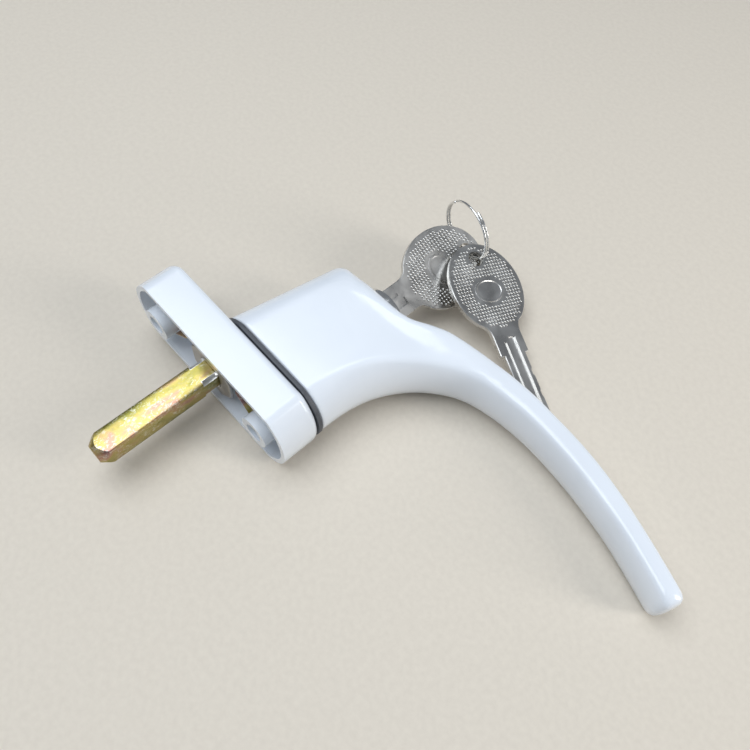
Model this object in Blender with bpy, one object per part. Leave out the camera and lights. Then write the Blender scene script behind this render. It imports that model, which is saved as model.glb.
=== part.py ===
"""Lockable window handle with its key cylinder, two keys and a drive spindle.

Lengths are in metres. The handle lies on its side: +X runs along the lever, +Y points from the window into
the room, and +Z is up. The origin is where the spindle's axis crosses the face of the sash.
"""

import math

import bmesh
import bpy
from mathutils import Matrix, Vector

MM = 0.001
GAP = 0.3 * MM

# Rosette: the plate that is screwed to the sash, hollow from behind.
ROSETTE_LENGTH = 65.0 * MM
ROSETTE_WIDTH = 24.6 * MM
ROSETTE_DEPTH = 12.0 * MM
ROSETTE_WALL = 1.6 * MM
ROSETTE_FRONT = 1.8 * MM
ROSETTE_END_RADIUS = 14.5 * MM
ROSETTE_CORNER_RADIUS = 4.5 * MM
ROSETTE_EDGE_RADIUS = 2.0 * MM
SCREW_SPACING = 43.0 * MM
SCREW_HOLE = 5.6 * MM
SCREW_HEAD = 9.4 * MM
BOSS_DIAMETER = 9.7 * MM
BOSS_PROUD = 1.5 * MM

# The leaf spring between the bosses: its height over the cam, and how far it drops to its ends.
LEAF_HALF_SPAN = 16.3 * MM
LEAF_FLAT = 4.0 * MM
LEAF_WING = 9.5 * MM
LEAF_HEIGHT = 7.95 * MM
LEAF_DROP = 8.8 * MM
LEAF_CURVE = 1.35
LEAF_THICKNESS = 0.5 * MM
LEAF_NEAR = 2.7 * MM
LEAF_WING_NEAR = 1.2 * MM
LEAF_FAR = 8.3 * MM
LEAF_STEPS = 18

# Hub: the handle's round foot that turns in the rosette, with the spindle inside it.
HUB_DIAMETER = 12.0 * MM
HUB_FOOT = 2.6 * MM
HUB_FLATS = 11.0 * MM
SPINDLE_SIDE = 7.0 * MM
SPINDLE_REACH = 35.5 * MM
SPINDLE_IN_NECK = 30.0 * MM
SPINDLE_POINT = 3.2 * MM
SPINDLE_END = 5.2 * MM
STAKE_DIAMETER = 3.0 * MM
STAKE_OFFSET = 0.35 * MM
STAKE_LENGTH = 3.4 * MM
CAM_LOW = 3.4 * MM
CAM_HIGH = 8.4 * MM
CAM_SIDE = 14.0 * MM
CAM_CORNER_REACH = 7.4 * MM

# Neck and lever.
GASKET_THICKNESS = 1.1 * MM
NECK_BASE = ROSETTE_DEPTH + GASKET_THICKNESS + 0.5 * MM
NECK_HALF_WIDTH = 11.5 * MM
NECK_FRONT = 49.8 * MM
NECK_LEFT = -8.6 * MM
NECK_LEAN = 5.6 * MM
NECK_RIGHT = 32.0 * MM
NECK_CROWN = 12.0 * MM
OUTER_CROWN = 24.0 * MM
INNER_CROWN = 17.0 * MM
TIP_CROWN = 30.0 * MM
FLAT_CROWN = 200.0 * MM
TIP_RADIUS = 1.9 * MM
TIP_OUTER = Vector((125.9, 48.9)) * MM
TIP_INNER = Vector((123.4, 41.8)) * MM

# The lever's two long sides in millimetres, from the neck to the tip, and its half width along X.
LEVER_OUTER = ((26.6, 50.5), (31.2, 53.6), (36.4, 56.5), (44.5, 58.7), (54.5, 60.4), (63.5, 61.2),
               (73.0, 61.3), (83.0, 60.6), (92.5, 59.1), (101.5, 56.9), (109.5, 54.5), (117.0, 52.0),
               (122.2, 50.2))
LEVER_INNER = ((32.0, NECK_BASE / MM), (32.2, 21.0), (33.6, 29.0), (37.0, 36.8), (42.8, 44.2), (52.0, 50.2),
               (67.0, 52.8), (84.0, 52.0), (101.0, 49.0), (113.5, 45.3), (119.8, 43.1))
HALF_WIDTHS = ((29.0, 11.5), (34.0, 10.9), (41.0, 9.7), (50.0, 8.5), (60.0, 7.9), (75.0, 7.5), (95.0, 7.1),
               (127.0, 6.6))

# Lock: the cylinder's axis lies beside the spindle, and its keyway is rolled a little.
LOCK_X = 16.2 * MM
LOCK_ROLL = math.radians(25.0)
LOCK_BORE = 14.6 * MM
LOCK_BORE_FLOOR = 15.0 * MM
HOUSING_OUTER = 14.0 * MM
HOUSING_INNER = 11.8 * MM
HOUSING_REAR = 28.0 * MM
PLUG_DIAMETER = 11.4 * MM
PLUG_FACE = 51.4 * MM
PLUG_REAR = 25.1 * MM
RIM_DIAMETER = 14.6 * MM
RIM_FACE = 51.7 * MM
WAFER_COUNT = 5
WAFER_FIRST = 33.0 * MM
WAFER_STEP = 3.4 * MM
WAFER_THICKNESS = 1.0 * MM
WAFER_WIDTH = 3.8 * MM
WAFER_HEIGHT = 10.6 * MM
BOLT_THROW = 3.4 * MM
BOLT_X = 12.2 * MM
BOLT_DIAMETER = 4.0 * MM
BOLT_HOLE = 4.6 * MM
BOLT_TIP = NECK_BASE + 0.15 * MM
BOLT_HEAD = 13.8 * MM
BOLT_HEAD_LOW = 19.7 * MM
BOLT_HEAD_HIGH = 21.3 * MM

# Keys and ring. A key's own origin is the middle of its ring hole, and its blade points along -Y.
KEY_THICKNESS = 1.7 * MM
KEY_HOLE = 4.9 * MM
KEY_HOLE_Y = 84.7 * MM
BOW_LENGTH = 29.0 * MM
BOW_WIDTH = 24.6 * MM
BOW_CENTRE = -9.4 * MM
KEY_NECK_HALF = 5.0 * MM
FILLET_START = 6.8 * MM
FILLET_END = -24.6 * MM
KEY_SHOULDER = -31.8 * MM
BLADE_HALF = 3.7 * MM
# Each groove's place across the blade, width, floor above the key's middle plane, and end at the bow.
WARD_GROOVES = ((1.1 * MM, 2.3 * MM, 0.15 * MM, -26.2 * MM), (-1.75 * MM, 0.9 * MM, 0.35 * MM, -27.6 * MM))
BLADE_TIP = -55.7 * MM
KEY_CUTS = (0.35 * MM, 0.55 * MM, 0.3 * MM, 0.5 * MM, 0.4 * MM)
RING_RADIUS = 9.18 * MM
RING_WIRE = 0.8 * MM
RING_PITCH = 0.86 * MM

# Where the ring and the spare key lie.
RING_CENTRE = Vector((14.64, 85.08, 8.50)) * MM
RING_NORMAL = Vector((0.177, 0.984, 0.014))
SPARE_BOW_CENTRE = Vector((29.40, 80.52, -0.59)) * MM
SPARE_BLADE_DIRECTION = Vector((0.912, -0.364, -0.189))
SPARE_FACE_NORMAL = Vector((0.250, 0.130, 0.959))
RING_SEAM = math.radians(223.0)


def clear_scene():
    for thing in list(bpy.data.objects):
        bpy.data.objects.remove(thing, do_unlink=True)


def material(name, colour, roughness, metallic=0.0):
    made = bpy.data.materials.new(name)
    made.use_nodes = True
    shader = made.node_tree.nodes["Principled BSDF"]
    shader.inputs["Base Color"].default_value = (*colour, 1.0)
    shader.inputs["Roughness"].default_value = roughness
    shader.inputs["Metallic"].default_value = metallic
    made.diffuse_color = (*colour, 1.0)
    return made


def empty(name, parent=None, matrix=None):
    made = bpy.data.objects.new(name, None)
    made.empty_display_size = 5 * MM
    bpy.context.scene.collection.objects.link(made)
    made.parent = parent
    made.matrix_local = matrix or Matrix.Identity(4)
    return made


def add_object(name, shape, finish, parent=None):
    """Turn a bmesh into a named object under its parent."""
    bmesh.ops.recalc_face_normals(shape, faces=shape.faces)
    mesh = bpy.data.meshes.new(name)
    shape.to_mesh(mesh)
    shape.free()
    if finish:
        mesh.materials.append(finish)
    made = bpy.data.objects.new(name, mesh)
    bpy.context.scene.collection.objects.link(made)
    made.parent = parent
    return made


def combine(target, name, shape, operation="DIFFERENCE"):
    """Cut a shape from an object, or join it on, with a Boolean."""
    tool = add_object(target.name + "." + name, shape, None, target)
    tool.display_type = "WIRE"
    tool.hide_render = True
    change = target.modifiers.new(name, "BOOLEAN")
    change.operation = operation
    change.solver = "EXACT"
    change.object = tool
    return tool


def ring_of_vertices(shape, outline, y):
    return [shape.verts.new((x, y, z)) for x, z in outline]


def bridge(shape, first, second):
    count = len(first)
    for i in range(count):
        j = (i + 1) % count
        shape.faces.new((first[i], first[j], second[j], second[i]))


def loft(layers):
    """Close a stack of outlines, each an (outline, y) pair with the same number of points."""
    shape = bmesh.new()
    rings = [ring_of_vertices(shape, outline, y) for outline, y in layers]
    for first, second in zip(rings, rings[1:]):
        bridge(shape, first, second)
    shape.faces.new(rings[0])
    shape.faces.new(rings[-1])
    return shape


def prism(outline, low, high):
    return loft([(outline, low), (outline, high)])


def circle(diameter, centre=(0.0, 0.0), count=48):
    turn = 2 * math.pi / count
    radius = diameter / 2
    return [(centre[0] + radius * math.cos(turn * i), centre[1] + radius * math.sin(turn * i))
            for i in range(count)]


def rectangle(x_low, x_high, z_low, z_high):
    return [(x_low, z_low), (x_high, z_low), (x_high, z_high), (x_low, z_high)]


def tube(outer, inner, low, high):
    """A prism with a hole, from two outlines with the same number of points."""
    shape = bmesh.new()
    rings = [ring_of_vertices(shape, outline, y)
             for outline, y in ((outer, low), (outer, high), (inner, high), (inner, low))]
    for first, second in zip(rings, rings[1:] + rings[:1]):
        bridge(shape, first, second)
    return shape


def merged(*shapes):
    """Put separate closed shapes, which don't touch, into one bmesh."""
    whole = bmesh.new()
    for shape in shapes:
        mesh = bpy.data.meshes.new("shape")
        shape.to_mesh(mesh)
        shape.free()
        whole.from_mesh(mesh)
        bpy.data.meshes.remove(mesh)
    return whole


def oval(length, width, end_radius, corner_radius, centre_x=0.0):
    """A long outline with bowed ends and rounded corners."""
    end_x = length / 2 - end_radius
    corner_z = width / 2 - corner_radius
    reach = end_radius - corner_radius
    lean = math.asin(corner_z / reach)
    corner_x = end_x + reach * math.cos(lean)
    quarter = []
    for i in range(7):
        angle = lean * i / 6
        quarter.append((end_x + end_radius * math.cos(angle), end_radius * math.sin(angle)))
    for i in range(1, 6):
        angle = lean + (math.pi / 2 - lean) * i / 5
        quarter.append((corner_x + corner_radius * math.cos(angle),
                        corner_z + corner_radius * math.sin(angle)))
    upper = quarter + [(-x, z) for x, z in reversed(quarter)]
    lower = [(x, -z) for x, z in reversed(upper[1:-1])]
    return [(centre_x + x, z) for x, z in upper + lower]


def helix(radius, pitch, turns, wire, steps_per_turn, sides=8):
    """A closed round wire wound about Y, centred on the origin."""
    shape = bmesh.new()
    steps = round(turns * steps_per_turn)
    rings = []
    for i in range(steps + 1):
        angle = 2 * math.pi * i / steps_per_turn
        height = pitch * (i / steps_per_turn - turns / 2)
        centre = Vector((radius * math.cos(angle), height, radius * math.sin(angle)))
        outward = Vector((math.cos(angle), 0.0, math.sin(angle)))
        ring = []
        for k in range(sides):
            around = 2 * math.pi * k / sides
            lift = Vector((0.0, wire / 2 * math.sin(around), 0.0))
            ring.append(shape.verts.new(centre + outward * (wire / 2 * math.cos(around)) + lift))
        rings.append(ring)
    for first, second in zip(rings, rings[1:]):
        bridge(shape, first, second)
    shape.faces.new(rings[0])
    shape.faces.new(rings[-1])
    return shape


def smooth_line(points, count):
    """Points spaced evenly along a smooth curve through the given ones."""
    dense = []
    padded = [points[0], *points, points[-1]]
    for before, start, end, after in zip(padded, padded[1:], padded[2:], padded[3:]):
        for i in range(20):
            t = i / 20
            square = (2 * before - 5 * start + 4 * end - after) * t ** 2
            cube = (3 * start - before - 3 * end + after) * t ** 3
            dense.append(0.5 * (2 * start + (end - before) * t + square + cube))
    dense.append(points[-1])
    lengths = [0.0]
    for first, second in zip(dense, dense[1:]):
        lengths.append(lengths[-1] + (second - first).length)
    line = []
    k = 0
    for i in range(count):
        wanted = lengths[-1] * i / (count - 1)
        while k < len(lengths) - 2 and lengths[k + 1] < wanted:
            k += 1
        share = (wanted - lengths[k]) / (lengths[k + 1] - lengths[k])
        line.append(dense[k].lerp(dense[k + 1], share))
    return line


def points_of(pairs):
    return [Vector(pair) * MM for pair in pairs]


def between(value, pairs):
    """Read a straight-line table of (position, result) pairs."""
    if value <= pairs[0][0]:
        return pairs[0][1]
    for (low, first), (high, second) in zip(pairs, pairs[1:]):
        if value <= high:
            return first + (second - first) * (value - low) / (high - low)
    return pairs[-1][1]


# ---------------------------------------------------------------- rosette

def rosette(finish):
    layers = []
    for i in range(6):
        angle = math.pi / 2 * i / 5
        inset = ROSETTE_EDGE_RADIUS * (1 - math.cos(angle))
        y = ROSETTE_DEPTH - ROSETTE_EDGE_RADIUS * (1 - math.sin(angle))
        layers.append((rosette_outline(inset), y))
    layers.insert(0, (rosette_outline(0.0), 0.0))
    shell = add_object("rosette_shell", loft(layers), finish)
    inside = ROSETTE_DEPTH - ROSETTE_FRONT
    combine(shell, "hollow", prism(rosette_outline(ROSETTE_WALL), -1 * MM, inside))
    sides = (-SCREW_SPACING / 2, SCREW_SPACING / 2)
    bosses = [prism(circle(BOSS_DIAMETER, (x, 0.0)), -BOSS_PROUD, inside + 0.5 * MM) for x in sides]
    combine(shell, "bosses", merged(*bosses), "UNION")
    peg = prism(circle(2.6 * MM, (-13.2 * MM, 9.9 * MM), 16), 1.2 * MM, inside + 0.5 * MM)
    combine(shell, "spring_peg", peg, "UNION")
    screw_holes = [prism(circle(SCREW_HOLE, (x, 0.0)), -3 * MM, ROSETTE_DEPTH + 1 * MM) for x in sides]
    combine(shell, "screw_holes", merged(*screw_holes))
    sinks = [loft([(circle(SCREW_HOLE - 0.4 * MM, (x, 0.0)), ROSETTE_DEPTH - 2.1 * MM),
                   (circle(SCREW_HEAD + 1.0 * MM, (x, 0.0)), ROSETTE_DEPTH + 0.5 * MM)]) for x in sides]
    combine(shell, "countersinks", merged(*sinks))
    openings = [prism(circle(15.4 * MM), inside - 1 * MM, ROSETTE_DEPTH + 1 * MM)]
    for x in (-BOLT_X, BOLT_X):
        openings.append(prism(circle(BOLT_HOLE, (x, 0.0), 24), inside - 1 * MM, ROSETTE_DEPTH + 1 * MM))
    combine(shell, "hub_and_bolt_holes", merged(*openings))
    return shell


def rosette_outline(inset):
    return oval(ROSETTE_LENGTH - 2 * inset, ROSETTE_WIDTH - 2 * inset,
                ROSETTE_END_RADIUS - inset, ROSETTE_CORNER_RADIUS - inset)


def hub_bushing(finish):
    body = tube(circle(14.8 * MM), circle(12.6 * MM), 9.0 * MM, 11.9 * MM)
    sleeve = add_object("hub_bushing", body, finish)
    flange = tube(circle(18.0 * MM), circle(12.6 * MM), 8.9 * MM, 9.9 * MM)
    combine(sleeve, "flange", flange, "UNION")
    return sleeve


def detent_leaf(finish):
    """A bowed strip that reaches from boss to boss and presses on the cam, with wider wings beside it."""
    shape = bmesh.new()
    rings = []
    for i in range(-LEAF_STEPS, LEAF_STEPS + 1):
        x = LEAF_HALF_SPAN * i / LEAF_STEPS
        fall = min(1.0, max(0.0, (abs(x) - LEAF_FLAT) / (LEAF_HALF_SPAN - LEAF_FLAT)))
        z = LEAF_HEIGHT - LEAF_DROP * fall ** LEAF_CURVE
        widen = min(1.0, max(0.0, (abs(x) - LEAF_WING) / MM))
        near = LEAF_NEAR + (LEAF_WING_NEAR - LEAF_NEAR) * widen
        half = LEAF_THICKNESS / 2
        corners = ((near, z - half), (near, z + half), (LEAF_FAR, z + half), (LEAF_FAR, z - half))
        rings.append([shape.verts.new((x, y, corner_z)) for y, corner_z in corners])
    for first, second in zip(rings, rings[1:]):
        bridge(shape, first, second)
    shape.faces.new(rings[0])
    shape.faces.new(rings[-1])
    return add_object("detent_leaf", shape, finish)


# ---------------------------------------------------------------- handle

def index_cam(finish, parent):
    """A square with rounded corners, one flat for each quarter turn, on the hub's two flats."""
    outline = []
    half = CAM_SIDE / 2
    edge = math.acos(half / CAM_CORNER_REACH)
    for side in range(4):
        start = side * math.pi / 2 + edge
        end = (side + 1) * math.pi / 2 - edge
        for i in range(12):
            angle = start + (end - start) * i / 11
            outline.append((CAM_CORNER_REACH * math.cos(angle), CAM_CORNER_REACH * math.sin(angle)))
    cam = add_object("index_cam", prism(outline, CAM_LOW, CAM_HIGH), finish, parent)
    combine(cam, "hub_hole", prism(hub_outline(GAP), CAM_LOW - 1 * MM, CAM_HIGH + 1 * MM))
    return cam


def hub_outline(clearance):
    flat = HUB_FLATS / 2 + clearance
    return [(x, max(-flat, min(flat, z))) for x, z in circle(HUB_DIAMETER + 2 * clearance)]


def retaining_plate(finish, parent):
    half = 8.2 * MM
    clip = 4.4 * MM
    corners = []
    for x_sign, z_sign in ((1, 1), (-1, 1), (-1, -1), (1, -1)):
        pair = [(x_sign * half, z_sign * (half - clip)), (x_sign * (half - clip), z_sign * half)]
        corners += pair if x_sign * z_sign > 0 else pair[::-1]
    plate = add_object("retaining_plate", prism(corners, 1.0 * MM, 2.2 * MM), finish, parent)
    side = SPINDLE_SIDE / 2 + GAP
    combine(plate, "spindle_hole", prism(rectangle(-side, side, -side, side), 0.0, 3 * MM))
    edge = plate.modifiers.new("edge", "BEVEL")
    edge.width = 0.3 * MM
    edge.segments = 2
    edge.limit_method = "ANGLE"
    return plate


def spindle(finish, parent):
    """A square bar with a turned point and four short stakes that hold the retaining plate."""
    half = SPINDLE_SIDE / 2
    bar = add_object("spindle", prism(rectangle(-half, half, -half, half), -SPINDLE_REACH, SPINDLE_IN_NECK),
                     finish, parent)
    edge = bar.modifiers.new("edge", "BEVEL")
    edge.width = 0.35 * MM
    edge.segments = 2
    edge.limit_method = "ANGLE"
    outside = circle(3 * SPINDLE_SIDE)
    end = -SPINDLE_REACH
    blank = loft([(outside, end - 1 * MM), (outside, end + SPINDLE_POINT + 2 * MM)])
    taper = (SPINDLE_SIDE * math.sqrt(2) - SPINDLE_END) / SPINDLE_POINT
    inner = [(circle(SPINDLE_END - 2 * MM * taper), end - 2 * MM),
             (circle(SPINDLE_END + (SPINDLE_POINT + 3 * MM) * taper), end + SPINDLE_POINT + 3 * MM)]
    turning = combine(bar, "turned_point", blank)
    combine(turning, "point", loft(inner))
    reach = half + STAKE_OFFSET
    stakes = [prism(circle(STAKE_DIAMETER, (x, z), 24), -STAKE_LENGTH, 0.6 * MM)
              for x in (-reach, reach) for z in (-reach, reach)]
    combine(bar, "stakes", merged(*stakes))
    return bar


def glide_gasket(finish, parent):
    low = ROSETTE_DEPTH + 0.2 * MM
    outline = oval(NECK_RIGHT - NECK_LEFT + 0.5 * MM, 2 * NECK_HALF_WIDTH + 0.4 * MM,
                   12.4 * MM, 4.0 * MM, (NECK_LEFT + NECK_RIGHT) / 2)
    gasket = add_object("glide_gasket", prism(outline, low, low + GASKET_THICKNESS), finish, parent)
    holes = merged(prism(circle(HUB_DIAMETER + 0.6 * MM), low - 1 * MM, NECK_BASE),
                   prism(circle(BOLT_HOLE, (BOLT_X, 0.0), 24), low - 1 * MM, NECK_BASE))
    combine(gasket, "holes", holes)
    return gasket


def crowned_inset(height, half, crown, edge):
    """How far a crowned side has come in at a height, with a fillet of radius edge at the top."""
    lean = math.asin((half - edge) / (crown - edge))
    if height <= crown * math.sin(lean):
        return crown - math.sqrt(max(0.0, crown ** 2 - height ** 2))
    middle = crown - (crown - edge) * math.cos(lean)
    return middle - math.sqrt(max(0.0, edge ** 2 - (height - half + edge) ** 2))


def handle_outline():
    """The handle's side view as two chains of points, from the neck's foot to the lever's tip.

    Each point is (place, pulls, edge). A pull is a direction in which the side comes in towards the handle's
    two flat faces, with the radius of its crown; edge is the radius of the fillet at the flat face.
    """
    corner = 4.0 * MM
    neck_edge = 3.0 * MM
    front_edge = 5.6 * MM
    right = Vector((1.0, 0.0))
    down = Vector((0.0, -1.0))
    foot = Vector((NECK_LEFT, NECK_BASE))
    shoulder = Vector((NECK_LEFT + NECK_LEAN, NECK_FRONT - corner))
    lean = math.degrees(math.atan2(NECK_LEAN, shoulder.y - foot.y))
    outer = []
    for i in range(5):
        outer.append((foot.lerp(shoulder, i / 5), [(right, NECK_CROWN)], neck_edge))
    for i in range(5):
        angle = math.radians(lean + (90 - lean) * i / 4)
        place = shoulder + Vector((corner * (1 - math.cos(angle)), corner * (math.sin(angle) - i / 20)))
        place.y = min(place.y, NECK_FRONT)
        outer.append((place, [(right, NECK_CROWN), (down, FLAT_CROWN)], front_edge))
    for x, edge in ((11.0, 5.4), (16.0, 4.8), (20.0, 3.9), (23.5, 3.1)):
        outer.append((Vector((x * MM, NECK_FRONT)), [(down, FLAT_CROWN)], edge * MM))
    outer += chain(smooth_line(points_of(LEVER_OUTER), 20), down, FLAT_CROWN, OUTER_CROWN, 2.2 * MM, 0.4 * MM)
    inner = chain(smooth_line(points_of(LEVER_INNER), 34), Vector((-1.0, 0.0)), NECK_CROWN, INNER_CROWN,
                  1.8 * MM, 1.0 * MM)
    inner[0] = (inner[0][0], [(Vector((-1.0, 0.0)), NECK_CROWN)], neck_edge)
    along = Vector((0.944, -0.330))
    across = Vector((0.330, 0.944))
    for end, corner_place, side, crown in ((outer, TIP_OUTER, across, OUTER_CROWN),
                                           (inner, TIP_INNER, -across, INNER_CROWN)):
        centre = corner_place - (along + side) * TIP_RADIUS
        for i in range(3):
            angle = math.radians(10 + 38 * i)
            place = centre + (side * math.cos(angle) + along * math.sin(angle)) * TIP_RADIUS
            end.append((place, [(-side, crown), (-along, TIP_CROWN)], 2.6 * MM))
    return outer, inner


def chain(points, first_pull, first_crown, crown, edge, extra_edge):
    """Points with pulls square to the line. Crown and edge change from their first values along the line."""
    made = []
    last = len(points) - 1
    pull = first_pull
    for i, place in enumerate(points):
        heading = (points[min(i + 1, last)] - points[max(i - 1, 0)]).normalized()
        square = Vector((-heading.y, heading.x))
        pull = square if square.dot(pull) > 0 else -square
        share = min(1.0, i / 9)
        pulls = [(pull, first_crown + (crown - first_crown) * share)]
        made.append((place, pulls, edge + (1 - share) * extra_edge))
    return made


def handle_skin():
    """Stack the side view in level rings, each drawn in by the crowned sides, and rib the two flat faces."""
    outer, inner = handle_outline()
    ribs = len(outer)
    points = outer + inner[::-1]
    count = len(points)
    levels = 9
    shape = bmesh.new()
    rings = []
    for level in range(-levels, levels + 1):
        ring = []
        for place, pulls, edge in points:
            half = between(place.x / MM, HALF_WIDTHS) * MM
            height = half * math.sin(abs(level) / levels * math.pi / 2)
            spot = place.copy()
            for direction, crown in pulls:
                spot += direction * crowned_inset(height, half, max(crown, half * 1.04), edge)
            ring.append(shape.verts.new((spot.x, spot.y, math.copysign(height, level))))
        rings.append(ring)
    for first, second in zip(rings, rings[1:]):
        bridge(shape, first, second)
    for ring in (rings[0], rings[-1]):
        for k in range(ribs - 1):
            shape.faces.new((ring[k], ring[k + 1], ring[count - 2 - k], ring[count - 1 - k]))
    return shape


def handle_casting(finish, parent):
    casting = add_object("handle_casting", handle_skin(), finish, parent)
    combine(casting, "hub", prism(circle(HUB_DIAMETER), HUB_FOOT, NECK_BASE + 3 * MM), "UNION")
    flat_cuts = []
    for sign in (-1, 1):
        sides = sorted((sign * HUB_FLATS / 2, sign * HUB_DIAMETER))
        flat_cuts.append(prism(rectangle(-8 * MM, 8 * MM, *sides), HUB_FOOT - 1 * MM, CAM_HIGH + 0.4 * MM))
    combine(casting, "hub_flats", merged(*flat_cuts))
    half = SPINDLE_SIDE / 2 + 0.15 * MM
    combine(casting, "spindle_socket",
            prism(rectangle(-half, half, -half, half), HUB_FOOT - 1 * MM, SPINDLE_IN_NECK + 0.4 * MM))
    bore = circle(LOCK_BORE, (LOCK_X, 0.0))
    combine(casting, "lock_bore", prism(bore, LOCK_BORE_FLOOR, NECK_FRONT + 6 * MM))
    combine(casting, "bolt_hole", prism(circle(BOLT_HOLE, (BOLT_X, 0.0), 24), NECK_BASE - 1 * MM,
                                        LOCK_BORE_FLOOR + 1 * MM))
    return casting


# ---------------------------------------------------------------- lock

def cylinder_rim(finish, parent):
    """The bright collar round the keyway, with a softened front edge."""
    inner = circle(HOUSING_INNER + 0.2 * MM, count=64)
    back = NECK_FRONT + 0.35 * MM
    shape = bmesh.new()
    soft = 0.5 * MM
    layers = [(inner, back), (circle(RIM_DIAMETER, count=64), back),
              (circle(RIM_DIAMETER, count=64), RIM_FACE - soft),
              (circle(RIM_DIAMETER - 0.6 * soft, count=64), RIM_FACE - 0.3 * soft),
              (circle(RIM_DIAMETER - 2 * soft, count=64), RIM_FACE), (inner, RIM_FACE)]
    rings = [ring_of_vertices(shape, outline, y) for outline, y in layers]
    for first, second in zip(rings, rings[1:] + rings[:1]):
        bridge(shape, first, second)
    return add_object("cylinder_rim", shape, finish, parent)


def lock_housing(finish, parent):
    top = NECK_FRONT + 0.05 * MM
    body = tube(circle(HOUSING_OUTER, count=64), circle(HOUSING_INNER, count=64), HOUSING_REAR, top)
    housing = add_object("lock_housing", body, finish, parent)
    low = WAFER_FIRST - 1.2 * MM
    high = WAFER_FIRST + WAFER_STEP * (WAFER_COUNT - 1) + 1.2 * MM
    half = WAFER_WIDTH / 2 + 0.4 * MM
    reach = HOUSING_OUTER / 2 + 1 * MM
    combine(housing, "windows_x", prism(rectangle(-reach, reach, -half, half), low, high))
    combine(housing, "windows_z", prism(rectangle(-half, half, -reach, reach), low, high))
    return housing


def face_cam():
    """Two ramps on the plug's end, each rising BOLT_THROW in a quarter turn."""
    steps = 96
    outer_radius = 4.9 * MM
    inner_radius = 1.9 * MM
    root = PLUG_REAR + 0.6 * MM
    shape = bmesh.new()
    rings = [[], [], [], []]
    for i in range(steps):
        angle = 2 * math.pi * i / steps
        behind = math.degrees(-angle) % 180.0
        share = behind / 90.0 if behind <= 90.0 else (1.0 if behind <= 120.0 else 0.0)
        surface = PLUG_REAR - 0.02 * MM - BOLT_THROW * share
        across = math.cos(angle)
        along = -math.sin(angle)
        for ring, radius, y in ((rings[0], inner_radius, root), (rings[1], outer_radius, root),
                                (rings[2], outer_radius, surface), (rings[3], inner_radius, surface)):
            ring.append(shape.verts.new((radius * across, y, radius * along)))
    for first, second in zip(rings, rings[1:] + rings[:1]):
        bridge(shape, first, second)
    return shape


def wafer_place(index):
    return WAFER_FIRST + WAFER_STEP * index


def wafer_way(index):
    """Wafers spring out of the plug on alternate sides."""
    return 1 if index % 2 == 0 else -1


def lock_plug(finish, parent):
    core = prism(circle(PLUG_DIAMETER, count=64), PLUG_REAR, PLUG_FACE)
    plug = add_object("lock_plug", core, finish, parent)
    combine(plug, "face_cam", face_cam(), "UNION")
    groove = tube(circle(PLUG_DIAMETER + 2 * MM, count=64), circle(9.2 * MM, count=64), 26.6 * MM, 27.8 * MM)
    combine(plug, "clip_groove", groove)
    keyway = rectangle(-BLADE_HALF - 0.25 * MM, BLADE_HALF + 0.25 * MM, -1.2 * MM, 1.2 * MM)
    combine(plug, "keyway", prism(keyway, 28.6 * MM, PLUG_FACE + 1 * MM))
    slot_half = WAFER_THICKNESS / 2 + 0.15 * MM
    strip = WAFER_WIDTH / 2 + 0.2 * MM
    slots = []
    for index in range(WAFER_COUNT):
        y = wafer_place(index)
        way = wafer_way(index)
        ear_low, ear_high = sorted((-3.1 * MM * way, 2.4 * MM * way))
        outline = [(-8 * MM, -strip), (8 * MM, -strip), (8 * MM, strip), (ear_high, strip),
                   (ear_high, 3.8 * MM), (ear_low, 3.8 * MM), (ear_low, strip), (-8 * MM, strip)]
        slots.append(prism(outline, y - slot_half, y + slot_half))
    combine(plug, "wafer_slots", merged(*slots))
    return plug


def wafer(index, finish, parent):
    """A sliding plate with a window for the blade and an ear that its spring pushes."""
    way = wafer_way(index)
    half_height = WAFER_HEIGHT / 2
    half_width = WAFER_WIDTH / 2
    ear_low, ear_high = sorted((-0.5 * MM * way, 0.9 * MM * way))
    corner = 0.5 * MM
    outline = [(-half_height, -half_width + corner), (-half_height + corner, -half_width),
               (half_height - corner, -half_width), (half_height, -half_width + corner),
               (half_height, half_width - corner), (half_height - corner, half_width), (ear_high, half_width),
               (ear_high, 3.3 * MM), (ear_low, 3.3 * MM), (ear_low, half_width),
               (-half_height + corner, half_width), (-half_height, half_width - corner)]
    y = WAFER_THICKNESS / 2
    plate = add_object(f"wafer_{index + 1}", prism(outline, -y, y), finish, parent)
    low, high = sorted((-4.65 * MM * way, 4.0 * MM * way))
    combine(plate, "window", prism(rectangle(low, high, -1.25 * MM, 1.25 * MM), -y - 1 * MM, y + 1 * MM))
    return plate


def wafer_spring(index, finish, parent):
    coil = helix(0.42 * MM, 0.5 * MM, 3.5, 0.2 * MM, 10, 6)
    spring = add_object(f"wafer_spring_{index + 1}", coil, finish, parent)
    spring.location = (-1.9 * MM * wafer_way(index), wafer_place(index), 2.95 * MM)
    spring.rotation_euler = (0.0, 0.0, math.pi / 2)
    return spring


def plug_clip(finish, parent):
    """A C-shaped clip in the plug's groove, behind the housing."""
    body = tube(circle(13.4 * MM), circle(9.8 * MM), 26.8 * MM, 27.6 * MM)
    clip = add_object("plug_clip", body, finish, parent)
    combine(clip, "mouth", prism(rectangle(0.0, 9 * MM, -2.2 * MM, 2.2 * MM), 26 * MM, 28.5 * MM))
    return clip


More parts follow.
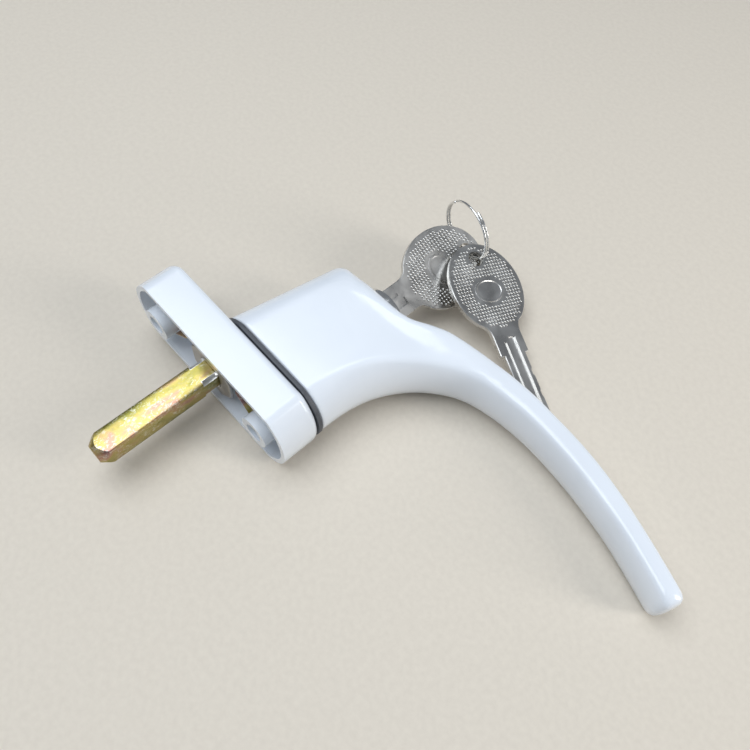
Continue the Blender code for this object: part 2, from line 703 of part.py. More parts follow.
def locking_bolt(finish, parent):
    """A disc that the face cam pushes, with an offset pin that reaches into the rosette."""
    head = add_object("locking_bolt", prism(circle(BOLT_HEAD, (LOCK_X, 0.0)), BOLT_HEAD_LOW, BOLT_HEAD_HIGH),
                      finish, parent)
    pin = [(circle(BOLT_DIAMETER - 0.8 * MM, (BOLT_X, 0.0), 24), BOLT_TIP),
           (circle(BOLT_DIAMETER, (BOLT_X, 0.0), 24), BOLT_TIP + 0.4 * MM),
           (circle(BOLT_DIAMETER, (BOLT_X, 0.0), 24), BOLT_HEAD_LOW + 0.5 * MM)]
    combine(head, "pin", loft(pin), "UNION")
    nubs = []
    orbit = 3.4 * MM
    tip = PLUG_REAR - 0.55 * MM
    for turn in (0.0, math.pi):
        centre = (LOCK_X + orbit * math.cos(LOCK_ROLL + turn), -orbit * math.sin(LOCK_ROLL + turn))
        nubs.append(loft([(circle(1.4 * MM, centre, 16), BOLT_HEAD_HIGH - 0.4 * MM),
                          (circle(1.4 * MM, centre, 16), tip - 0.7 * MM),
                          (circle(1.2 * MM, centre, 16), tip - 0.35 * MM),
                          (circle(0.6 * MM, centre, 16), tip)]))
    combine(head, "nubs", merged(*nubs), "UNION")
    return head


def bolt_spring(finish, parent):
    coil = helix(6.6 * MM, 0.5 * MM, 1.4, 0.35 * MM, 24, 8)
    spring = add_object("bolt_spring", coil, finish, parent)
    spring.location = (LOCK_X, LOCK_BORE_FLOOR + 0.68 * MM, 0.0)
    return spring


# ---------------------------------------------------------------- keys

def key_outline():
    """One side of the key's outline, from the bow's far end to the blade's shoulder."""
    half_length = BOW_LENGTH / 2
    half_width = BOW_WIDTH / 2
    meet = math.asin(KEY_NECK_HALF / half_width)
    bow = []
    steps = 22
    for i in range(steps + 1):
        angle = math.pi / 2 - (math.pi - meet) * i / steps
        bow.append((half_width * math.cos(angle), BOW_CENTRE + half_length * math.sin(angle)))
    bow = [point for point in bow if point[1] > BOW_CENTRE or point[0] > FILLET_START]
    start = Vector(bow[-1])
    end = Vector((KEY_NECK_HALF, FILLET_END))
    corner = Vector((KEY_NECK_HALF + 0.2 * MM, start.y - 1.1 * MM))
    fillet = []
    for i in range(1, 6):
        t = i / 5
        fillet.append(tuple(start * (1 - t) ** 2 + corner * 2 * t * (1 - t) + end * t ** 2))
    side = bow + fillet + [(KEY_NECK_HALF, KEY_SHOULDER + 0.4 * MM), (KEY_NECK_HALF - 0.4 * MM, KEY_SHOULDER),
                           (BLADE_HALF, KEY_SHOULDER)]
    return side


def blade_edge(sign):
    """The cut edge of the blade on one side, from the shoulder to the tip."""
    edge = []
    for index in reversed(range(WAFER_COUNT)):
        if wafer_way(index) != sign:
            continue
        y = wafer_place(index) - KEY_HOLE_Y
        depth = KEY_CUTS[index]
        edge += [(BLADE_HALF, y + 1.3 * MM), (BLADE_HALF - depth, y + 0.7 * MM),
                 (BLADE_HALF - depth, y - 0.7 * MM), (BLADE_HALF, y - 1.3 * MM)]
    return edge + [(BLADE_HALF, BLADE_TIP + 1.6 * MM), (BLADE_HALF - 1.4 * MM, BLADE_TIP)]


def key(name, finish, parent):
    right = key_outline() + blade_edge(1)
    left = [(-x, y) for x, y in reversed(key_outline()[1:] + blade_edge(-1))]
    shape = bmesh.new()
    low = [shape.verts.new((x, y, -KEY_THICKNESS / 2)) for x, y in right + left]
    high = [shape.verts.new((x, y, KEY_THICKNESS / 2)) for x, y in right + left]
    bridge(shape, low, high)
    shape.faces.new(low)
    shape.faces.new(high)
    made = add_object(name, shape, finish, parent)
    edge = made.modifiers.new("edge", "BEVEL")
    edge.width = 0.2 * MM
    edge.segments = 1
    edge.limit_method = "ANGLE"
    edge.angle_limit = math.radians(60)
    hole = prism(circle(KEY_HOLE, count=32), -5 * MM, 5 * MM)
    bmesh.ops.rotate(hole, verts=hole.verts, matrix=Matrix.Rotation(math.pi / 2, 3, "X"))
    combine(made, "ring_hole", hole)
    grooves = []
    for x, width, floor, start in WARD_GROOVES:
        groove = prism(rectangle(x - width / 2, x + width / 2, floor, 3 * MM), BLADE_TIP - 2 * MM, start)
        grooves.append(groove)
    combine(made, "grooves", merged(*grooves))
    return made


def split_ring(finish, parent):
    return add_object("split_ring", helix(RING_RADIUS, RING_PITCH, 1.85, RING_WIRE, 40, 8), finish, parent)


def frame_from(origin, x_axis, y_axis, z_axis):
    turned = Matrix((x_axis, y_axis, z_axis)).transposed().to_4x4()
    return Matrix.Translation(origin) @ turned


def build():
    clear_scene()
    white = material("white_powder_coat", (0.80, 0.84, 0.90), 0.28)
    rubber = material("grey_gasket", (0.07, 0.075, 0.085), 0.55)
    zinc = material("yellow_zinc", (0.62, 0.50, 0.24), 0.32, 1.0)
    steel = material("grey_steel", (0.42, 0.41, 0.40), 0.42, 1.0)
    nickel = material("bright_nickel", (0.78, 0.78, 0.77), 0.18, 1.0)
    key_metal = material("nickel_silver", (0.55, 0.55, 0.54), 0.35, 1.0)
    brass = material("brass", (0.75, 0.58, 0.28), 0.35, 1.0)
    spring_steel = material("spring_steel", (0.45, 0.45, 0.46), 0.35, 1.0)
    plastic = material("white_plastic", (0.72, 0.74, 0.76), 0.45)

    rosette(white)
    hub_bushing(plastic)
    detent_leaf(zinc)

    handle_axis = empty("handle_axis")
    handle_casting(white, handle_axis)
    glide_gasket(rubber, handle_axis)
    index_cam(steel, handle_axis)
    retaining_plate(steel, handle_axis)
    spindle(zinc, handle_axis)

    lock_frame = empty("lock_frame", handle_axis,
                       Matrix.Translation((LOCK_X, 0.0, 0.0)) @ Matrix.Rotation(LOCK_ROLL, 4, "Y"))
    lock_housing(brass, lock_frame)
    cylinder_rim(nickel, lock_frame)
    bolt_axis = empty("bolt_axis", handle_axis)
    locking_bolt(steel, bolt_axis)
    bolt_spring(spring_steel, handle_axis)

    plug_axis = empty("plug_axis", lock_frame)
    lock_plug(brass, plug_axis)
    plug_clip(spring_steel, plug_axis)
    for index in range(WAFER_COUNT):
        slot_place = Matrix.Translation((0.0, wafer_place(index), 0.0))
        slide = empty(f"wafer_axis_{index + 1}", plug_axis, slot_place)
        wafer(index, brass, slide)
        wafer_spring(index, spring_steel, plug_axis)

    key_axis = empty("key_axis", plug_axis, Matrix.Translation((0.0, KEY_HOLE_Y, 0.0)))
    key("key_1", key_metal, key_axis)

    bpy.context.view_layer.update()
    normal = RING_NORMAL.normalized()
    across = Vector((1.0, 0.0, 0.0))
    across = (across - normal * across.dot(normal)).normalized()
    ring_axis = empty("ring_axis", key_axis)
    ring = split_ring(nickel, ring_axis)
    bpy.context.view_layer.update()
    ring_place = frame_from(RING_CENTRE, across, normal, across.cross(normal))
    ring.matrix_local = ring_axis.matrix_world.inverted() @ ring_place @ Matrix.Rotation(RING_SEAM, 4, "Y")

    blade = SPARE_BLADE_DIRECTION.normalized()
    face = (SPARE_FACE_NORMAL - blade * SPARE_FACE_NORMAL.dot(blade)).normalized()
    hole_place = SPARE_BOW_CENTRE + blade * BOW_CENTRE
    spare_place = frame_from(hole_place, (-blade).cross(face), -blade, face)
    spare_axis = empty("spare_key_axis", ring_axis, ring_axis.matrix_world.inverted() @ spare_place)
    key("key_2", key_metal, spare_axis)


build()
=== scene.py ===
"""A lockable window handle lying on a table, with one key in its cylinder and a spare key on a split ring."""
import math

import bmesh
import bpy
from mathutils import Matrix, Vector


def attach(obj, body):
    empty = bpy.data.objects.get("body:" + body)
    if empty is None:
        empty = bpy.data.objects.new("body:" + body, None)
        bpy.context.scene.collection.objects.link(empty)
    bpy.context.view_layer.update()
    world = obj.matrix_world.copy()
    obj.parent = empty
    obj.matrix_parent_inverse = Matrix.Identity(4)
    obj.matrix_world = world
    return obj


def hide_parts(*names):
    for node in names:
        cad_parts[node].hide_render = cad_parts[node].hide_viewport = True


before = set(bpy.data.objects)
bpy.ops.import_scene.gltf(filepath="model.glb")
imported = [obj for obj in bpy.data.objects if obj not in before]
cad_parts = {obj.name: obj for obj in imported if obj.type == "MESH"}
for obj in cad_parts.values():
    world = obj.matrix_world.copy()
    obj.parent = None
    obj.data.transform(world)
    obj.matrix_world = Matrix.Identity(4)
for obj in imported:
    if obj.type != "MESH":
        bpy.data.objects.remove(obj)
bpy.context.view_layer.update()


# The view. A normal lens looks down past the lever's shoulder, with the spindle at the lower left.
# The camera stands about 20 cm above the table.
eye = Vector((0.08934, -0.04173, 0.18396))
picture_right = Vector((0.6769, 0.7313, 0.0838)).normalized()
towards_eye = Vector((0.2871, -0.3671, 0.8847))
towards_eye = (towards_eye - picture_right * towards_eye.dot(picture_right)).normalized()
picture_up = towards_eye.cross(picture_right)
lens = bpy.data.cameras.new("view")
lens.lens = 36.0
lens.sensor_width = 36.0
lens.clip_start = 0.005
view = bpy.data.objects.new("view", lens)
bpy.context.scene.collection.objects.link(view)
view.matrix_world = (Matrix.Translation(eye)
                     @ Matrix((picture_right, picture_up, towards_eye)).transposed().to_4x4())
bpy.context.scene.camera = view
bpy.context.scene.view_settings.view_transform = "Standard"


# The table and the studio light. The handle lies on its flat sides on a plain pale surface.
# One large cool softbox hangs overhead, and a lower strip on the right draws the bright edges.
def hold(piece):
    """Select only this piece and make it active."""
    if bpy.context.object and bpy.context.object.mode != "OBJECT":
        bpy.ops.object.mode_set(mode="OBJECT")
    bpy.ops.object.select_all(action="DESELECT")
    piece.select_set(True)
    bpy.context.view_layer.objects.active = piece


def settle(piece):
    """Put a primitive's place, turn and size into its mesh."""
    hold(piece)
    bpy.ops.object.transform_apply(location=True, rotation=True, scale=True)


def new_finish(name, colour, roughness, metallic=0.0):
    made = bpy.data.materials.new(name)
    made.use_nodes = True
    shader = made.node_tree.nodes["Principled BSDF"]
    shader.inputs["Base Color"].default_value = (*colour, 1.0)
    shader.inputs["Roughness"].default_value = roughness
    shader.inputs["Metallic"].default_value = metallic
    return made, shader


def grain(finish, size, detail=3.0, distortion=0.0, stretch=(1.0, 1.0, 1.0)):
    """Noise on the object's own coordinates, with features about this many metres apart."""
    nodes, links = finish.node_tree.nodes, finish.node_tree.links
    place = nodes.new("ShaderNodeTexCoord")
    shift = nodes.new("ShaderNodeMapping")
    shift.inputs["Scale"].default_value = stretch
    noise = nodes.new("ShaderNodeTexNoise")
    noise.inputs["Scale"].default_value = 1.0 / size
    noise.inputs["Detail"].default_value = detail
    noise.inputs["Distortion"].default_value = distortion
    links.new(place.outputs["Object"], shift.inputs["Vector"])
    links.new(shift.outputs["Vector"], noise.inputs["Vector"])
    return noise.outputs["Fac"]


def graded(finish, source, stops):
    """Turn a pattern into colours, from (position, colour) stops."""
    ramp = finish.node_tree.nodes.new("ShaderNodeValToRGB")
    band = ramp.color_ramp
    while len(band.elements) < len(stops):
        band.elements.new(0.5)
    for element, (position, colour) in zip(band.elements, stops):
        element.position = position
        element.color = (*colour, 1.0)
    finish.node_tree.links.new(source, ramp.inputs["Fac"])
    return ramp.outputs["Color"]


def spread(finish, source, low, high, source_low=0.3, source_high=0.7):
    """Spread a pattern over a range of values, such as roughness."""
    change = finish.node_tree.nodes.new("ShaderNodeMapRange")
    change.inputs["From Min"].default_value = source_low
    change.inputs["From Max"].default_value = source_high
    change.inputs["To Min"].default_value = low
    change.inputs["To Max"].default_value = high
    finish.node_tree.links.new(source, change.inputs["Value"])
    return change.outputs["Result"]


def raised(finish, shader, source, depth, strength=1.0):
    """Use a pattern as fine relief, this many metres deep."""
    bump = finish.node_tree.nodes.new("ShaderNodeBump")
    bump.inputs["Distance"].default_value = depth
    bump.inputs["Strength"].default_value = strength
    finish.node_tree.links.new(source, bump.inputs["Height"])
    finish.node_tree.links.new(bump.outputs["Normal"], shader.inputs["Normal"])


def join_to(finish, source, shader, socket):
    finish.node_tree.links.new(source, shader.inputs[socket])


table_finish, shader = new_finish("pale_table", (0.70, 0.64, 0.55), 0.75)
fibre = grain(table_finish, 0.0016, 5.0)
join_to(table_finish, graded(table_finish, fibre, [(0.3, (0.68, 0.62, 0.535)), (0.7, (0.72, 0.66, 0.57))]),
        shader, "Base Color")
raised(table_finish, shader, fibre, 0.00002)
table_slope = 0.0524
bpy.ops.mesh.primitive_plane_add(size=4.0, location=(0.020, 0.0, -0.01245),
                                 rotation=(0.0, -math.atan(table_slope), 0.0))
table = bpy.context.object
table.name = "table"
table.data.materials.append(table_finish)

middle = Vector((0.045, 0.030, 0.0))
for name, across, up, near, width, height, power, colour in (
        ("softbox", -0.15, 0.40, 0.60, 0.70, 0.60, 4.7, (0.90, 0.95, 1.0)),
        ("strip", 0.62, -0.06, 0.30, 0.16, 0.50, 2.3, (1.0, 0.98, 0.95)),
        ("fill", -0.55, -0.25, 0.35, 0.50, 0.50, 0.3, (0.93, 0.96, 1.0))):
    lamp = bpy.data.lights.new(name, "AREA")
    lamp.shape = "RECTANGLE"
    lamp.size = width
    lamp.size_y = height
    lamp.energy = power
    lamp.color = colour
    lamp_object = bpy.data.objects.new(name, lamp)
    bpy.context.scene.collection.objects.link(lamp_object)
    offset = picture_right * across + picture_up * up + towards_eye * near
    lamp_object.location = middle + offset
    lamp_object.rotation_euler = offset.to_track_quat("Z", "Y").to_euler()
room = bpy.data.worlds.new("room")
bpy.context.scene.world = room
room.use_nodes = True
room.node_tree.nodes["Background"].inputs["Color"].default_value = (0.86, 0.92, 1.0, 1.0)
room.node_tree.nodes["Background"].inputs["Strength"].default_value = 0.24


# The rosette: a die-cast back plate with bowed ends, powder-coated white. It is hollow from behind, with two
# screw bosses cast inside, and it has holes for the hub and for the locking bolt in both of its places.
def edit(piece):
    hold(piece)
    bpy.ops.object.mode_set(mode="EDIT")
    bpy.ops.mesh.select_all(action="DESELECT")


def choose_faces(piece, wanted):
    """Select the faces that pass a test, in edit mode."""
    bpy.ops.mesh.select_mode(type="FACE")
    shape = bmesh.from_edit_mesh(piece.data)
    for face in shape.faces:
        face.select_set(wanted(face))
    shape.select_flush_mode()
    bmesh.update_edit_mesh(piece.data)


def joined(name, pieces):
    hold(pieces[0])
    for piece in pieces:
        piece.select_set(True)
    bpy.ops.object.join()
    whole = bpy.context.object
    whole.name = name
    return whole


def finish_modifiers(piece):
    hold(piece)
    for modifier in list(piece.modifiers):
        bpy.ops.object.modifier_apply(modifier=modifier.name)


def soften(piece, width, segments=3, angle=35.0):
    """Round the sharp edges with a bevel."""
    edge = piece.modifiers.new("edge", "BEVEL")
    edge.width = width
    edge.segments = segments
    edge.limit_method = "ANGLE"
    edge.angle_limit = math.radians(angle)
    edge.harden_normals = False
    finish_modifiers(piece)


def shade(piece, angle=35.0):
    hold(piece)
    bpy.ops.object.shade_smooth_by_angle(angle=math.radians(angle))


def clean(piece):
    edit(piece)
    bpy.ops.mesh.select_all(action="SELECT")
    bpy.ops.mesh.remove_doubles(threshold=0.000004)
    bpy.ops.object.mode_set(mode="OBJECT")


def copy_of(node, name):
    """A merged copy of a fixed part's mesh, to be worked up."""
    piece = bpy.data.objects.new(name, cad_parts[node].data.copy())
    bpy.context.scene.collection.objects.link(piece)
    piece.data.materials.clear()
    hold(piece)
    bpy.ops.mesh.customdata_custom_splitnormals_clear()
    clean(piece)
    return piece


def even_shading(piece):
    """Keep broad faces flat in shading next to their fillets."""
    weights = piece.modifiers.new("even", "WEIGHTED_NORMAL")
    weights.weight = 80
    weights.keep_sharp = True
    finish_modifiers(piece)


powder_coat, shader = new_finish("white_powder_coat", (0.80, 0.85, 0.92), 0.24)
shader.inputs["IOR"].default_value = 1.5
shader.inputs["Coat Weight"].default_value = 0.35
shader.inputs["Coat Roughness"].default_value = 0.09
orange_peel = grain(powder_coat, 0.0011, 2.0)
cloud = grain(powder_coat, 0.02, 2.0)
speck = grain(powder_coat, 0.0009, 1.0, stretch=(1.0, 0.97, 1.03))
join_to(powder_coat, graded(powder_coat, cloud, [(0.35, (0.775, 0.825, 0.895)), (0.65, (0.805, 0.855, 0.925))]),
        shader, "Base Color")
join_to(powder_coat, spread(powder_coat, speck, 0.20, 0.25), shader, "Roughness")
raised(powder_coat, shader, orange_peel, 0.0000025, 0.4)

rosette = copy_of("rosette_shell", "rosette_cover")
soften(rosette, 0.00030, 3, 50.0)
shade(rosette, 42.0)
even_shading(rosette)
rosette.data.materials.append(powder_coat)
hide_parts("rosette_shell")
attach(rosette, "rosette")


# The handle: neck and lever are one casting in the same white coat, with a soft fillet round its flat faces.
# Its hub goes down through the rosette.
def stands_for(piece, node, body, finish):
    """Give a worked-up piece its finish and put it in a fixed part's place."""
    piece.data.materials.clear()
    piece.data.materials.append(finish)
    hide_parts(node)
    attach(piece, body)


casting = copy_of("handle_casting", "handle_and_lever")
flow = casting.modifiers.new("flow", "REMESH")
flow.mode = "VOXEL"
flow.voxel_size = 0.00042
flow.use_smooth_shade = True
finish_modifiers(casting)
shoulder = casting.vertex_groups.new(name="shoulder")
for point in casting.data.vertices:
    past_lock = min(1.0, max(0.0, (point.co.x - 0.0165) / 0.006))
    before_lever = min(1.0, max(0.0, (0.056 - point.co.x) / 0.014))
    near_front = min(1.0, max(0.0, (point.co.y - 0.036) / 0.006))
    shoulder.add([point.index], past_lock * before_lever * near_front, "REPLACE")
for name, rounds, group in (("polish", 12, ""), ("blend", 90, "shoulder")):
    polish = casting.modifiers.new(name, "SMOOTH")
    polish.factor = 0.5
    polish.iterations = rounds
    polish.vertex_group = group
finish_modifiers(casting)
casting.vertex_groups.clear()
hold(casting)
bpy.ops.object.shade_smooth()
stands_for(casting, "handle_casting", "handle", powder_coat)


# The gasket: a dark ring of soft plastic between the rosette and the neck, which lets the handle glide.
# It is punched from sheet, with slightly rounded edges.
gasket_finish, shader = new_finish("grey_gasket", (0.060, 0.066, 0.078), 0.5)
rub = grain(gasket_finish, 0.0012, 4.0)
join_to(gasket_finish, graded(gasket_finish, rub, [(0.3, (0.050, 0.055, 0.066)), (0.7, (0.085, 0.091, 0.104))]),
        shader, "Base Color")
join_to(gasket_finish, spread(gasket_finish, rub, 0.42, 0.6), shader, "Roughness")
raised(gasket_finish, shader, rub, 0.00002)
gasket = copy_of("glide_gasket", "gasket")
soften(gasket, 0.00035, 4, 50.0)
shade(gasket)
stands_for(gasket, "glide_gasket", "handle", gasket_finish)


# The spindle: a 7 mm square steel bar with a turned point, zinc plated and yellow passivated. The passivation
# runs from olive gold to pink, with pale flecks, and the four stakes that hold the plate are bare bright steel.
zinc, shader = new_finish("yellow_zinc", (0.62, 0.50, 0.24), 0.3, 1.0)
stain = grain(zinc, 0.0065, 4.0, 0.6, (1.0, 0.55, 1.0))
gold = graded(zinc, stain, [(0.30, (0.20, 0.19, 0.045)), (0.43, (0.36, 0.31, 0.085)), (0.53, (0.45, 0.35, 0.12)),
                            (0.61, (0.45, 0.26, 0.17)), (0.70, (0.36, 0.20, 0.19))])
fleck = grain(zinc, 0.00075, 6.0, 1.5, (1.0, 0.6, 1.0))
patch = grain(zinc, 0.005, 2.0)
nodes, links = zinc.node_tree.nodes, zinc.node_tree.links
fleck_amount = spread(zinc, fleck, 0.0, 0.85, 0.50, 0.68)
patch_amount = spread(zinc, patch, 0.1, 1.0, 0.40, 0.60)
both = nodes.new("ShaderNodeMath")
both.operation = "MULTIPLY"
links.new(fleck_amount, both.inputs[0])
links.new(patch_amount, both.inputs[1])
flecked = nodes.new("ShaderNodeMix")
flecked.data_type = "RGBA"
flecked.inputs["B"].default_value = (0.78, 0.78, 0.66, 1.0)
links.new(both.outputs["Value"], flecked.inputs["Factor"])
links.new(gold, flecked.inputs["A"])
place = nodes.new("ShaderNodeTexCoord")
parts = nodes.new("ShaderNodeSeparateXYZ")
links.new(place.outputs["Object"], parts.inputs["Vector"])
stake_offset = []
for axis in ("X", "Z"):
    size = nodes.new("ShaderNodeMath")
    size.operation = "ABSOLUTE"
    links.new(parts.outputs[axis], size.inputs[0])
    away = nodes.new("ShaderNodeMath")
    away.operation = "SUBTRACT"
    away.inputs[1].default_value = 0.00385
    links.new(size.outputs["Value"], away.inputs[0])
    stake_offset.append(away.outputs["Value"])
together = nodes.new("ShaderNodeCombineXYZ")
links.new(stake_offset[0], together.inputs["X"])
links.new(stake_offset[1], together.inputs["Z"])
distance = nodes.new("ShaderNodeVectorMath")
distance.operation = "LENGTH"
links.new(together.outputs["Vector"], distance.inputs[0])
near_stake = spread(zinc, distance.outputs["Value"], 1.0, 0.0, 0.00152, 0.00166)
along_stake = spread(zinc, parts.outputs["Y"], 0.0, 1.0, -0.0037, -0.0035)
bare = nodes.new("ShaderNodeMath")
bare.operation = "MULTIPLY"
links.new(near_stake, bare.inputs[0])
links.new(along_stake, bare.inputs[1])
staked = nodes.new("ShaderNodeMix")
staked.data_type = "RGBA"
staked.inputs["B"].default_value = (0.80, 0.80, 0.78, 1.0)
links.new(bare.outputs["Value"], staked.inputs["Factor"])
links.new(flecked.outputs["Result"], staked.inputs["A"])
links.new(staked.outputs["Result"], shader.inputs["Base Color"])
join_to(zinc, spread(zinc, fleck, 0.26, 0.44), shader, "Roughness")
raised(zinc, shader, fleck, 0.000012, 0.7)
spindle = copy_of("spindle", "square_spindle")
soften(spindle, 0.00012, 2, 30.0)
shade(spindle, 30.0)
stands_for(spindle, "spindle", "handle", zinc)


# Behind the rosette: the stamped steel plate and the square cam on the hub, and the bowed leaf that clicks
# from one flat of the cam to the next. Their sheared edges are a little rounded.
grey_steel, shader = new_finish("grey_steel", (0.42, 0.41, 0.40), 0.42, 1.0)
rolled = grain(grey_steel, 0.0022, 5.0, 0.3, (1.0, 1.0, 0.35))
join_to(grey_steel, graded(grey_steel, rolled, [(0.3, (0.33, 0.315, 0.295)), (0.7, (0.50, 0.49, 0.475))]),
        shader, "Base Color")
join_to(grey_steel, spread(grey_steel, rolled, 0.32, 0.5), shader, "Roughness")
raised(grey_steel, shader, rolled, 0.000015)
for node, name, finish, slot, body, width in (
        ("retaining_plate", "clip_plate", grey_steel, "grey_steel", "handle", 0.00012),
        ("index_cam", "square_cam", grey_steel, "grey_steel", "handle", 0.0002),
        ("detent_leaf", "click_leaf", zinc, "yellow_zinc", "rosette", 0.00008)):
    piece = copy_of(node, name)
    soften(piece, width, 2, 40.0)
    shade(piece)
    stands_for(piece, node, body, finish)
bushing_plastic, shader = new_finish("white_plastic", (0.72, 0.74, 0.76), 0.45)
moulded = grain(bushing_plastic, 0.0015, 3.0)
join_to(bushing_plastic, spread(bushing_plastic, moulded, 0.38, 0.55), shader, "Roughness")
join_to(bushing_plastic, graded(bushing_plastic, moulded, [(0.3, (0.69, 0.71, 0.73)), (0.7, (0.75, 0.77, 0.79))]),
        shader, "Base Color")
bushing = copy_of("hub_bushing", "hub_sleeve")
soften(bushing, 0.0002, 2, 40.0)
shade(bushing)
stands_for(bushing, "hub_bushing", "rosette", bushing_plastic)


# The lock: a nickel-plated rim and plug face show in the neck, and the brass housing, wafers and springs,
# the clip and the bolt are inside. The rim is turned, with a rounded front and a step down to the plug.
bright_nickel, shader = new_finish("bright_nickel", (0.78, 0.78, 0.77), 0.16, 1.0)
turning = grain(bright_nickel, 0.0012, 3.0, 0.0, (1.0, 4.0, 1.0))
join_to(bright_nickel, spread(bright_nickel, turning, 0.10, 0.22), shader, "Roughness")
join_to(bright_nickel, graded(bright_nickel, turning, [(0.3, (0.72, 0.72, 0.71)), (0.7, (0.82, 0.82, 0.81))]),
        shader, "Base Color")
raised(bright_nickel, shader, turning, 0.000004)


def turned(name, profile, x, z, sides=96):
    """A closed ring turned about Y, from (radius, height) points, by extruding a circle round the profile."""
    bpy.ops.object.select_all(action="DESELECT")
    first_radius, first_height = profile[0]
    bpy.ops.mesh.primitive_circle_add(vertices=sides, radius=first_radius, location=(x, first_height, z),
                                      rotation=(-math.pi / 2, 0.0, 0.0))
    made = bpy.context.object
    made.name = name
    settle(made)
    bpy.ops.object.mode_set(mode="EDIT")
    bpy.ops.mesh.select_all(action="SELECT")
    radius, height = first_radius, first_height
    for new_radius, new_height in profile[1:] + profile[:1]:
        bpy.ops.mesh.extrude_region_move(TRANSFORM_OT_translate={"value": (0.0, new_height - height, 0.0)})
        share = new_radius / radius
        bpy.ops.transform.resize(value=(share, 1.0, share), center_override=(x, new_height, z))
        radius, height = new_radius, new_height
    bpy.ops.mesh.select_all(action="SELECT")
    bpy.ops.mesh.remove_doubles(threshold=0.00001)
    bpy.ops.mesh.normals_make_consistent(inside=False)
    bpy.ops.object.mode_set(mode="OBJECT")
    return made


lock_x = 0.0162
rim = turned("lock_rim", [(0.0073, 0.04920), (0.0075, 0.04940), (0.00755, 0.05080), (0.00752, 0.05125),
                          (0.00738, 0.05152), (0.00712, 0.05168), (0.00680, 0.05170), (0.00655, 0.05162),
                          (0.00640, 0.05145), (0.00632, 0.05120), (0.00600, 0.05112), (0.00590, 0.05100),
                          (0.00590, 0.04920)], lock_x, 0.0)
shade(rim, 30.0)
stands_for(rim, "cylinder_rim", "handle", bright_nickel)
plug = copy_of("lock_plug", "plug")
soften(plug, 0.00012, 2, 50.0)
shade(plug)
stands_for(plug, "lock_plug", "plug", bright_nickel)

brass, shader = new_finish("brass", (0.75, 0.58, 0.28), 0.34, 1.0)
swarf = grain(brass, 0.0016, 4.0, 0.2, (1.0, 3.0, 1.0))
join_to(brass, graded(brass, swarf, [(0.3, (0.66, 0.49, 0.22)), (0.7, (0.80, 0.63, 0.33))]), shader, "Base Color")
join_to(brass, spread(brass, swarf, 0.24, 0.44), shader, "Roughness")
spring_steel, shader = new_finish("spring_steel", (0.45, 0.45, 0.46), 0.32, 1.0)
drawn = grain(spring_steel, 0.0009, 3.0)
join_to(spring_steel, graded(spring_steel, drawn, [(0.3, (0.38, 0.38, 0.39)), (0.7, (0.52, 0.52, 0.53))]),
        shader, "Base Color")
join_to(spring_steel, spread(spring_steel, drawn, 0.25, 0.4), shader, "Roughness")
hidden_parts = [("lock_housing", brass), ("locking_bolt", grey_steel), ("plug_clip", spring_steel),
                ("bolt_spring", spring_steel)]
for number in range(1, 6):
    hidden_parts += [(f"wafer_{number}", brass), (f"wafer_spring_{number}", spring_steel)]
for node, finish in hidden_parts:
    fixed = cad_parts[node]
    fixed.data.materials.clear()
    fixed.data.materials.append(finish)


# The two keys: flat stampings in nickel-plated steel. Each bow has a plain edge, a field of small raised
# squares, and a plain raised oval in the middle, and the blade is grooved and cut.
key_metal, shader = new_finish("nickel_silver", (0.55, 0.55, 0.54), 0.34, 1.0)
blast = grain(key_metal, 0.00045, 3.0)
handling = grain(key_metal, 0.006, 3.0, 0.4)
join_to(key_metal, graded(key_metal, handling, [(0.3, (0.56, 0.55, 0.53)), (0.7, (0.70, 0.695, 0.68))]),
        shader, "Base Color")
join_to(key_metal, spread(key_metal, handling, 0.24, 0.38), shader, "Roughness")
raised(key_metal, shader, blast, 0.000012, 0.6)
key_half_thickness = 0.00085
bow_centre_y = -0.0094
bow_half_length = 0.0145
bow_half_width = 0.0123
border = 0.0013
dot_pitch = 0.00104
panel_half = (0.0050, 0.0039)
panel_y = bow_centre_y - 0.0014
panel_margin = 0.0009
hole_clear = 0.0032
relief_rise = 0.00026
relief_root = key_half_thickness - 0.00006
relief_top = key_half_thickness + relief_rise
panel_top = relief_top - 0.00008
edge_lean = 0.0002
points_per_square = 8


def oval_plate(name, half_x, half_y, low, high, sides=96):
    """An oval plate lying flat, with its edge leaning in a little."""
    bpy.ops.object.select_all(action="DESELECT")
    bpy.ops.mesh.primitive_circle_add(vertices=sides, radius=1.0, fill_type="NGON", location=(0.0, 0.0, low))
    made = bpy.context.object
    made.name = name
    made.scale = (half_x, half_y, 1.0)
    settle(made)
    bpy.ops.object.mode_set(mode="EDIT")
    bpy.ops.mesh.select_all(action="SELECT")
    bpy.ops.mesh.extrude_region_move(TRANSFORM_OT_translate={"value": (0.0, 0.0, high - low)})
    bpy.ops.transform.resize(value=(1.0 - edge_lean / half_x, 1.0 - edge_lean / half_y, 1.0),
                             center_override=(0.0, 0.0, high))
    bpy.ops.object.mode_set(mode="OBJECT")
    return made


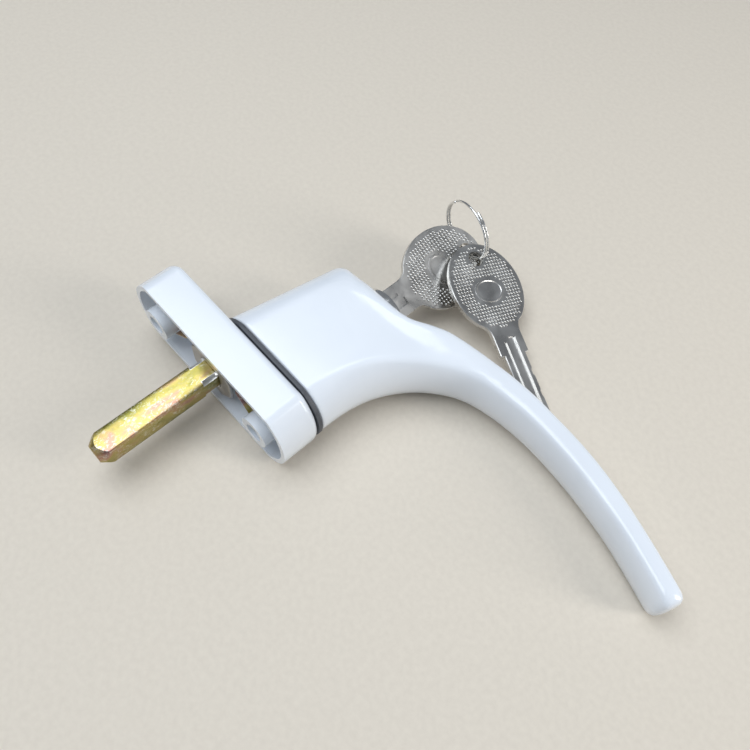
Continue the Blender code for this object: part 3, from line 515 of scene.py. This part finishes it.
def key_relief():
    """The raised squares and panel of both faces of a key, in the key's own place at its ring hole."""
    bpy.ops.object.select_all(action="DESELECT")
    columns, rows = 21, 26
    bpy.ops.mesh.primitive_cone_add(vertices=4, radius1=0.00062, radius2=0.00026, depth=relief_top - relief_root,
                                    rotation=(0.0, 0.0, math.pi / 4),
                                    location=(-dot_pitch * (columns - 1) / 2,
                                              bow_centre_y - dot_pitch * (rows - 1) / 2,
                                              (relief_root + relief_top) / 2))
    dots = bpy.context.object
    dots.name = "squares"
    settle(dots)
    for axis, count in ((0, columns), (1, rows)):
        repeat = dots.modifiers.new("repeat", "ARRAY")
        repeat.count = count
        repeat.use_relative_offset = False
        repeat.use_constant_offset = True
        offset = [0.0, 0.0, 0.0]
        offset[axis] = dot_pitch
        repeat.constant_offset_displace = offset
        finish_modifiers(dots)
    edit(dots)
    bpy.ops.mesh.select_mode(type="VERT")
    shape = bmesh.from_edit_mesh(dots.data)
    shape.verts.ensure_lookup_table()
    points = list(shape.verts)
    for start in range(0, len(points), points_per_square):
        square = points[start:start + points_per_square]
        centre = sum((v.co for v in square), Vector()) / points_per_square
        across, along = centre.x, centre.y - bow_centre_y
        in_field = math.hypot(across / (bow_half_width - border), along / (bow_half_length - border)) < 1.0
        at_panel = math.hypot(across / (panel_half[0] + panel_margin),
                              (centre.y - panel_y) / (panel_half[1] + panel_margin)) < 1.0
        at_hole = math.hypot(centre.x, centre.y) < hole_clear
        if not in_field or at_panel or at_hole:
            for v in square:
                v.select_set(True)
    bmesh.update_edit_mesh(dots.data)
    bpy.ops.mesh.delete(type="VERT")
    bpy.ops.object.mode_set(mode="OBJECT")
    hold(dots)
    bpy.ops.object.shade_smooth()
    panel = oval_plate("panel", *panel_half, relief_root, panel_top)
    edit(panel)
    choose_faces(panel, lambda f: f.normal.z > 0.9 and f.calc_center_median().z > key_half_thickness)
    bpy.ops.mesh.inset(thickness=0.0005, depth=0.0)
    bpy.ops.mesh.inset(thickness=0.0002, depth=-0.0001)
    bpy.ops.mesh.select_all(action="SELECT")
    bpy.ops.transform.translate(value=(0.0, panel_y, 0.0))
    bpy.ops.object.mode_set(mode="OBJECT")
    one_face = joined("relief", [dots, panel])
    hold(one_face)
    bpy.ops.object.duplicate()
    other_face = bpy.context.object
    other_face.rotation_euler = (0.0, math.pi, 0.0)
    settle(other_face)
    whole = joined("relief", [one_face, other_face])
    return whole


spare_blade = Vector((0.912, -0.364, -0.189)).normalized()
spare_face = Vector((0.250, 0.130, 0.959))
spare_face = (spare_face - spare_blade * spare_face.dot(spare_blade)).normalized()
spare_hole = Vector((0.02940, 0.08052, -0.00059)) + spare_blade * bow_centre_y
key_places = [
    ("key_1", "inserted_key",
     Matrix.Translation((lock_x, 0.0847, 0.0)) @ Matrix.Rotation(math.radians(25.0), 4, "Y")),
    ("key_2", "spare_key", Matrix.Translation(spare_hole)
     @ Matrix(((-spare_blade).cross(spare_face), -spare_blade, spare_face)).transposed().to_4x4())]
for node, body, place_of_key in key_places:
    blank = copy_of(node, node + "_blank")
    shade(blank, 30.0)
    relief = key_relief()
    relief.matrix_world = place_of_key
    settle(relief)
    whole_key = joined(node + "_finished", [blank, relief])
    stands_for(whole_key, node, body, key_metal)


# The split ring: hardened wire wound twice round, bright plated, with its two ends lying side by side.
ring = copy_of("split_ring", "double_ring")
rounding = ring.modifiers.new("round", "SUBSURF")
rounding.levels = 2
rounding.render_levels = 2
finish_modifiers(ring)
shade(ring, 60.0)
stands_for(ring, "split_ring", "ring", bright_nickel)
